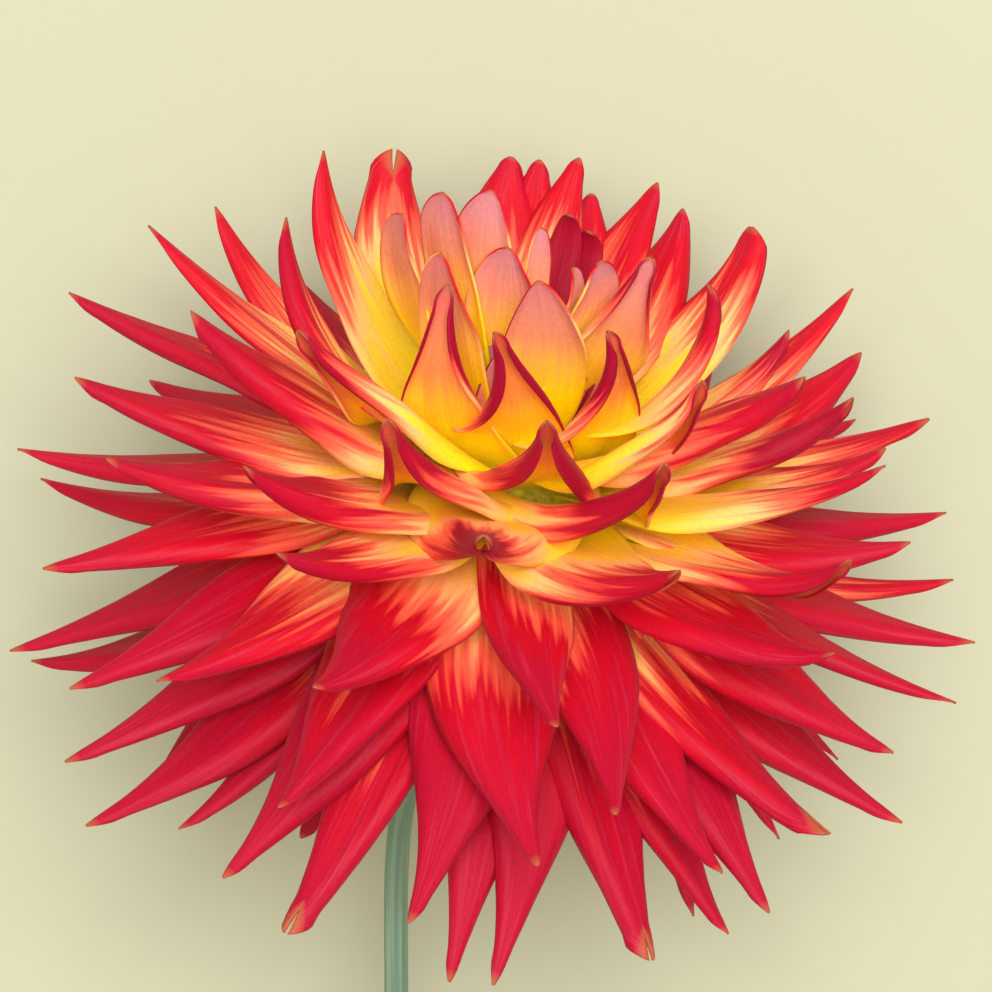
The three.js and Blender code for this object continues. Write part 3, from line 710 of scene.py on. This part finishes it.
def petalMaterial(name, side):
    tones, grain, layers = petalTones, petalGrain, petalLayers
    material = bpy.data.materials.new(name)
    material.use_nodes = True
    tree = material.node_tree
    tree.nodes.clear()
    along, over, _ = put(tree, separate, put(tree, "ShaderNodeUVMap", uv_map="UVMap")).node.outputs
    red, young, deep, chance = (
        put(tree, "ShaderNodeAttribute", attribute_name=key, out=2)
        for key in ("red", "young", "deep", "chance"))
    number = put(tree, sums, chance, chanceSpread, **times)
    patterns = []
    for spacing, stretch in (("veinSpacing", "veinStretch"), ("flameWidth", "flameStretch")):
        spot = put(
            tree, combine, put(tree, sums, along, grain[stretch], **times),
            put(tree, sums, over, grain["span"] / grain[spacing], **times), number)
        patterns.append(put(tree, noise, spot, None, 1.0, 2.0))
    veins, flames = patterns
    middle = put(tree, sums, put(tree, sums, over, 2.0, **times), 1.0, **minus)
    toEdge = put(tree, sums, middle, operation="ABSOLUTE")
    streaky = put(tree, sums, flames, grain["flameReach"], -grain["flameReach"] / 2, **timesPlus)
    streaks = put(tree, sums, veins, grain["veinReach"], -grain["veinReach"] / 2, **timesPlus)
    streaky = put(tree, sums, streaks, streaky, operation="ADD")
    if side == "upper":
        past = put(tree, sums, put(tree, sums, along, red, **minus), streaky, operation="ADD")
        slant = put(tree, sums, chance, 0.5, **minus)
        slant = put(tree, sums, slant, middle, **times)
        past = put(tree, sums, slant, grain["slant"], past, **timesPlus)
        edge = put(tree, sums, toEdge, grain["edgePower"], operation="POWER")
        past = put(tree, sums, edge, grain["edgeReach"], past, **timesPlus)
    else:
        past = put(tree, sums, streaky, grain["underReach"], along, **timesPlus)
    color = None
    for tone, start, end in tones[side]:
        share = put(tree, ramped, past, start, end, **smooth)
        color = put(tree, mixed, share, named={6: color, 7: linear(tone)}, data_type="RGBA", out=2)
    layered = []
    if side == "upper":
        # Painted highlight: pale pink streaks along the veins stand in for the satin sheen on the crimson.
        paintedSheen = put(tree, ramped, past, *layers["paintedSheenPast"], 0.0, layers["paintedSheenMost"])
        paintedSheenVeins = put(tree, ramped, veins, *layers["paintedSheenVeins"])
        layered.append(("paintedSheen", put(tree, sums, paintedSheenVeins, paintedSheen, **times)))
        # Painted shade: the crimson is darkened by each petal's painted-shade value, standing in for the
        # shade deep in the bloom.
        paintedShadeShare = put(tree, ramped, past, *layers["paintedShadePast"])
        layered.append(("dark", put(tree, sums, paintedShadeShare, deep, **times)))
    else:
        paler = put(tree, ramped, young, *layers["youngAge"], 0.0, layers["youngMost"])
        palerPast = put(tree, ramped, past, *layers["youngPast"])
        layered.append(("young", put(tree, sums, palerPast, paler, **times)))
        rim = put(tree, ramped, toEdge, *layers["rimEdge"], 0.0, layers["rimMost"])
        rim = put(tree, sums, rim, put(tree, ramped, along, *layers["rimAlong"]), **times)
        rimAge = put(tree, ramped, young, *layers["rimAge"], 1.0, layers["rimLeast"])
        layered.append(("rim", put(tree, sums, rim, rimAge, **times)))
    layered.append(("tip", put(tree, ramped, along, *layers["tipAlong"], 0.0, layers["tipMost"])))
    # Yellow-green towards the root: partly the petals' own base colour, partly painted shade of the hollows
    # between rows.
    layered.append(("root", put(tree, ramped, along, *layers["rootAlong"], layers["rootMost"], 0.0)))
    for key, share in layered:
        color = put(tree, mixed, share, named={6: color, 7: linear(tones[key])}, data_type="RGBA", out=2)
    inMottles = put(
        tree, vectors, put(tree, "ShaderNodeTexCoord", out=3),
        named={"Scale": 1 / (grain["mottleSize"] * mm)}, operation="SCALE")
    mottle = put(tree, noise, inMottles, None, 1.0, 3.0)
    lightness = put(tree, sums, mottle, grain["mottle"] * 2, 1 - grain["mottle"], **timesPlus)
    color = put(tree, vectors, color, named={"Scale": lightness}, operation="SCALE")
    relief = put(tree, sums, mottle, grain["mottleRelief"], veins, **timesPlus)
    bump = put(tree, "ShaderNodeBump", 0.5, grain["relief"] * mm, named={"Height": relief})
    surface = put(
        tree, "ShaderNodeBsdfPrincipled",
        named={
            "Base Color": color, "Roughness": 0.55, "Specular IOR Level": 0.16, "Sheen Weight": 0.04,
            "Sheen Roughness": 0.35, "Sheen Tint": linear(tones["sheen"]), "Subsurface Weight": 0.1,
            "Subsurface Radius": (1.0, 0.4, 0.2), "Subsurface Scale": 0.0006, "Normal": bump,
        })
    put(tree, "ShaderNodeOutputMaterial", surface)
    return material


upperFinish = petalMaterial("dahlia_petal_upper", "upper")
underFinish = petalMaterial("dahlia_petal_under", "under")
blades = bladeTree()
print("petal tree and finishes ready")

finishes = [upperFinish, underFinish]
for row, seeds in seedPetals().items():
    piece = growBlades(f"petals_{row}", seeds, blades, petalForm, petalRows[row], finishes)
    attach(piece, "root")
    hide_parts("bloom")
    print(f"{row}: {len(seeds)} petals")


# The receptacle that the petals grow from, and the cup behind it: round about the head's axis, as pairs of
# radius and place along the axis in mm, tail first.
turnedForms = {
    "receptacle": {
        "profile": [
            (0, -3.6), (9.6, -3.6), (14, -4), (18, -1), (19.6, 4.5), (18, 11.5), (13.5, 17.5), (7, 20.6),
            (0, 21.6),
        ],
        "sides": 48, "node": "bloom", "slot": "petal",
    },
    "calyx_cup": {
        "profile": [
            (0, -14), (2.7, -14), (3.2, -13.3), (4.6, -12), (6.6, -10.8), (8.5, -9.4), (9.8, -7.8),
            (10.3, -6), (10, -4.8), (9.2, -4), (0, -4),
        ],
        "sides": 48, "node": "calyx", "slot": "bract",
    },
}


def onAxis(radius, place, azimuth):
    around = math.radians(azimuth)
    return headMiddle + axis * place + (front * math.cos(around) + right * math.sin(around)) * radius


def turnOnAxis(name, profile, sides, finish):
    inner = [pair for pair in profile if pair[0] > 0]
    places = [onAxis(0, profile[0][1], 0)]
    places += [
        onAxis(radius, place, side * 360 / sides) for radius, place in inner for side in range(sides)]
    places.append(onAxis(0, profile[-1][1], 0))
    faces = [(0, 1 + side, 1 + (side + 1) % sides) for side in range(sides)]
    for ring in range(len(inner) - 1):
        for side in range(sides):
            here, there = 1 + ring * sides, 1 + (ring + 1) * sides
            after = (side + 1) % sides
            faces.append((here + side, there + side, there + after, here + after))
    last, top = 1 + (len(inner) - 1) * sides, len(places) - 1
    faces += [(last + side, top, last + (side + 1) % sides) for side in range(sides)]
    mesh = bpy.data.meshes.new(name)
    mesh.from_pydata([place * mm for place in places], [], faces)
    shape = bmesh.new()
    shape.from_mesh(mesh)
    bmesh.ops.recalc_face_normals(shape, faces=shape.faces)
    shape.to_mesh(mesh)
    shape.free()
    mesh.materials.append(finish)
    mesh.shade_smooth()
    piece = bpy.data.objects.new(name, mesh)
    scene.collection.objects.link(piece)
    rounded = piece.modifiers.new("rounded", "SUBSURF")
    rounded.levels = rounded.render_levels = 1
    return piece


# Fresh green tissue: waxy and matt, paler where it is thin, with fine lengthwise lines.
greens = {
    "bract": ("#5F8038", "#86A04C"),
    "scale": ("#A99A52", "#C7B873"),
    "receptacle": ("#B0A41E", "#D8C838"),
    "stem": ("#657F6A", "#869E80"),
}
greenGrain = {
    "lineSpacing": 1.2,  # mm
    "lineStretch": 3.0,
    "shares": (0.35, 0.65),  # where the dark tone ends and the pale one is full
    "relief": 0.2,  # mm
}


def greenMaterial(name, dark, pale, alongName="", aroundName="", around=1.0):
    material = bpy.data.materials.new(name)
    material.use_nodes = True
    tree = material.node_tree
    tree.nodes.clear()
    if alongName:
        along = put(tree, "ShaderNodeAttribute", attribute_name=alongName, out=2)
        over = put(tree, "ShaderNodeAttribute", attribute_name=aroundName, out=2)
        over = put(tree, sums, over, around / greenGrain["lineSpacing"], **times)
        along = put(tree, sums, along, greenGrain["lineStretch"], **times)
        place = put(tree, combine, along, over)
    else:
        place = put(
            tree, vectors, put(tree, "ShaderNodeTexCoord", out=3),
            named={"Scale": 1 / (greenGrain["lineSpacing"] * mm)}, operation="SCALE")
    lines = put(tree, noise, place, None, 1.0, 2.0)
    share = put(tree, ramped, lines, *greenGrain["shares"], **smooth)
    color = put(tree, mixed, share, named={6: linear(dark), 7: linear(pale)}, data_type="RGBA", out=2)
    bump = put(tree, "ShaderNodeBump", 0.3, greenGrain["relief"] * mm, named={"Height": lines})
    surface = put(
        tree, "ShaderNodeBsdfPrincipled",
        named={
            "Base Color": color, "Roughness": 0.55, "Specular IOR Level": 0.35, "Subsurface Weight": 0.1,
            "Subsurface Radius": (0.6, 1.0, 0.3), "Subsurface Scale": 0.001, "Normal": bump,
        })
    put(tree, "ShaderNodeOutputMaterial", surface)
    return material


turnedFinishes = {
    "receptacle": greenMaterial("receptacle_flesh", *greens["receptacle"]),
    "calyx_cup": greenMaterial("calyx_flesh", *greens["bract"]),
}
for name, form in turnedForms.items():
    piece = turnOnAxis(name, form["profile"], form["sides"], turnedFinishes[name])
    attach(piece, "root")
    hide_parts(form["node"])
print("receptacle and cup ready")

# Thin inner scales pressed to the petals' backs, and fleshy outer bracts bent back over the stem. Each middle
# line runs from, by and to a pair of radius and place along the axis in mm. Widths and thicknesses are in mm,
# start and roll in degrees.
bractForms = {
    "calyx_scales": {
        "count": 8, "start": 10.0, "line": [(7.5, -5.5), (14, -8.4), (19, -12.5)], "width": 3.4,
        "thickness": 0.35, "swell": 0.4, "taper": 0.5, "endWidth": 0.3, "roll": 24.0, "finish": "scale",
    },
    "calyx_bracts": {
        "count": 6, "start": 30.0, "line": [(6.5, -8.5), (13.5, -11), (16.5, -19)], "width": 3.6,
        "thickness": 0.7, "swell": 0.5, "taper": 0.5, "endWidth": 0.4, "roll": 34.0, "finish": "bract",
    },
}
# What both have alike, by the names of petalForm and petalRows.
bractShape = {
    "rings": 20,
    "columns": 11,
    "rootShare": 0.3,
    "flatFrom": 0.5,
    "flatTo": 0.95,
    "cup": 0.1,
    "foldHeight": 0.3,
    "foldWidth": 2.0,
    "edgeWave": 0.2,
    "notch": 0.0,
    "splitWidth": 0.0,
    "curl": (0.3, 0.9),
    "flat": (0.5, 0.3),
    "unevenBy": 2.7,
}


def seedBracts(form):
    seeds = []
    for number in range(form["count"]):
        azimuth = form["start"] + number * 360 / form["count"]
        around = math.radians(azimuth)
        root, by, tip = (onAxis(radius, place, azimuth) * mm for radius, place in form["line"])
        seeds.append({
            "root": root, "rootHandle": root.lerp(by, 2 / 3), "tipHandle": tip.lerp(by, 2 / 3), "tip": tip,
            "sideways": right * math.cos(around) - front * math.sin(around),
            "halfWidth": form["width"] * mm, "endWidth": form["endWidth"] * mm,
            "roll": math.radians(form["roll"]), "twist": 0.0, "red": 0.0, "young": 0.0, "deep": 0.0,
            "split": 0.0, "chance": 0.5 + 0.5 * math.sin(number * bractShape["unevenBy"]),
        })
    return seeds


for name, form in bractForms.items():
    dark, pale = greens[form["finish"]]
    finish = greenMaterial(f"{form['finish']}_skin", dark, pale, "along", "across", form["width"])
    whole = {**bractShape, **form, "rootRoll": form["roll"]}
    piece = growBlades(name, seedBracts(form), blades, whole, whole, [finish])
    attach(piece, "root")
    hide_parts("calyx")
print("bracts ready")

# The stem: hollow, faintly ribbed, cut square. Lengths are in mm, the middle line from the head's middle.
stemForm = {
    "line": [
        (-1.85, -13.1, -5.35), (-3.4, -19.5, -8.2), (-8.4, -28, -12.4), (-13.4, -38, -16.8),
        (-15.3, -50, -21.6), (-15.6, -70, -29), (-15.6, -92, -36.8), (-15.6, -118, -46),
        (-15.8, -146, -55.8),
    ],
    "radiusAtTop": 1.85,
    "radiusAtCut": 2.0,
    "wall": 0.9,
    "ribs": 9,
    "ribHeight": 0.07,
    "sides": 54,
    "stepsEach": 12,
}


def smoothLine(points, stepsEach):
    ends = [points[0] * 2 - points[1], *points, points[-1] * 2 - points[-2]]
    places = []
    for before, here, there, after in zip(ends, ends[1:], ends[2:], ends[3:]):
        for step in range(stepsEach):
            t = step / stepsEach
            places.append(0.5 * (
                here * 2 + (there - before) * t + (before * 2 - here * 5 + there * 4 - after) * t * t
                + (here * 3 - before - there * 3 + after) * t ** 3))
    return [*places, points[-1]]


def stemTree():
    tree = bpy.data.node_groups.new("stem", "GeometryNodeTree")
    tree.interface.new_socket("Geometry", in_out="INPUT", socket_type="NodeSocketGeometry")
    tree.interface.new_socket("Geometry", in_out="OUTPUT", socket_type="NodeSocketGeometry")
    for name, kind in (
        ("Radius at top", "Float"), ("Radius at cut", "Float"), ("Ribs", "Float"), ("Rib height", "Float"),
        ("Sides", "Int"), ("Finish", "Material"),
    ):
        tree.interface.new_socket(name, in_out="INPUT", socket_type=f"NodeSocket{kind}")
    given = tree.nodes.new("NodeGroupInput").outputs
    share = put(tree, "GeometryNodeSplineParameter")
    named = {"data_type": "FLOAT", "domain": "POINT"}
    path = put(tree, "GeometryNodeMeshToCurve", given["Geometry"])
    path = put(tree, "GeometryNodeStoreNamedAttribute", path, None, "along", share, **named)
    radius = put(tree, ramped, share, 0.0, 1.0, given["Radius at top"], given["Radius at cut"])
    path = put(tree, "GeometryNodeSetCurveRadius", path, None, radius)
    profile = put(tree, "GeometryNodeCurvePrimitiveCircle", given["Sides"], named={"Radius": 1.0})
    profile = put(tree, "GeometryNodeStoreNamedAttribute", profile, None, "around", share, **named)
    skin = put(tree, "GeometryNodeCurveToMesh", path, profile, named={"Scale": radius})
    around = put(tree, "GeometryNodeInputNamedAttribute", "around", data_type="FLOAT")
    wave = put(tree, sums, around, given["Ribs"], **times)
    wave = put(tree, sums, wave, 2 * math.pi, **times)
    wave = put(tree, sums, wave, operation="COSINE")
    height = put(tree, sums, wave, given["Rib height"], **times)
    normal = put(tree, "GeometryNodeInputNormal")
    ribbed = put(tree, vectors, normal, named={"Scale": height}, operation="SCALE")
    shaped = put(tree, "GeometryNodeSetPosition", skin, None, None, ribbed)
    whole = put(tree, "GeometryNodeRealizeInstances", shaped)
    put(tree, "NodeGroupOutput", put(tree, "GeometryNodeSetMaterial", whole, None, given["Finish"]))
    return tree


def makeStem(form, finish):
    places = smoothLine([Vector(point) for point in form["line"]], form["stepsEach"])
    mesh = bpy.data.meshes.new("stem_line")
    edges = [(step, step + 1) for step in range(len(places) - 1)]
    mesh.from_pydata([(headMiddle + place) * mm for place in places], edges, [])
    piece = bpy.data.objects.new("stem_skin", mesh)
    scene.collection.objects.link(piece)
    modifier = piece.modifiers.new("stem", "NODES")
    modifier.node_group = stemTree()
    values = {
        "Radius at top": form["radiusAtTop"] * mm, "Radius at cut": form["radiusAtCut"] * mm,
        "Ribs": float(form["ribs"]), "Rib height": form["ribHeight"] * mm, "Sides": form["sides"],
        "Finish": finish,
    }
    setInputs(modifier, values)
    return makePlain(piece)


stemGirth = 2 * math.pi * stemForm["radiusAtCut"]
stemSkin = greenMaterial("stem_skin", *greens["stem"], "along", "around", stemGirth)
stem = makeStem(stemForm, stemSkin)
stem.data.shade_smooth()
wall = stem.modifiers.new("wall", "SOLIDIFY")
wall.thickness = stemForm["wall"] * mm
wall.offset = -1
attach(stem, "root")
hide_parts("stem")
print("stem ready")


# The table and the light: a pale cream sweep under soft, nearly even light. Lengths in m.
stage = {
    "floorHalf": 3.0,
    "floorColor": "#B4B296",
    "floorRoughness": 0.9,
    "skyColor": "#FFFEF6",
    "skyStrength": 0.74,
    "keyPlace": (0.08, 0.16, 1.05),
    "keyAim": (0, 0.03, 0.05),
    "keySize": 0.6,
    "keyPower": 13.2,  # W
}


def makeStage():
    mesh = bpy.data.meshes.new("floor")
    half = stage["floorHalf"]
    corners = [(-half, -half, 0), (half, -half, 0), (half, half, 0), (-half, half, 0)]
    mesh.from_pydata(corners, [], [(0, 1, 2, 3)])
    floor = bpy.data.objects.new("floor", mesh)
    scene.collection.objects.link(floor)
    # Matt paper: it takes the soft shadow and gives no glint.
    finish = bpy.data.materials.new("matt_cream_paper")
    finish.use_nodes = True
    shader = finish.node_tree.nodes["Principled BSDF"]
    shader.inputs["Base Color"].default_value = linear(stage["floorColor"])
    shader.inputs["Roughness"].default_value = stage["floorRoughness"]
    mesh.materials.append(finish)
    world = bpy.data.worlds.new("studio")
    world.use_nodes = True
    sky = world.node_tree.nodes["Background"]
    sky.inputs[0].default_value = linear(stage["skyColor"])
    sky.inputs[1].default_value = stage["skyStrength"]
    scene.world = world
    light = bpy.data.lights.new("key", "AREA")
    light.size = stage["keySize"]
    light.energy = stage["keyPower"]
    lamp = bpy.data.objects.new("key", light)
    lamp.location = stage["keyPlace"]
    towards = Vector(stage["keyAim"]) - Vector(stage["keyPlace"])
    lamp.rotation_euler = towards.to_track_quat("-Z", "Y").to_euler()
    scene.collection.objects.link(lamp)
    scene.view_settings.view_transform = "Standard"


makeStage()
print("stage ready")
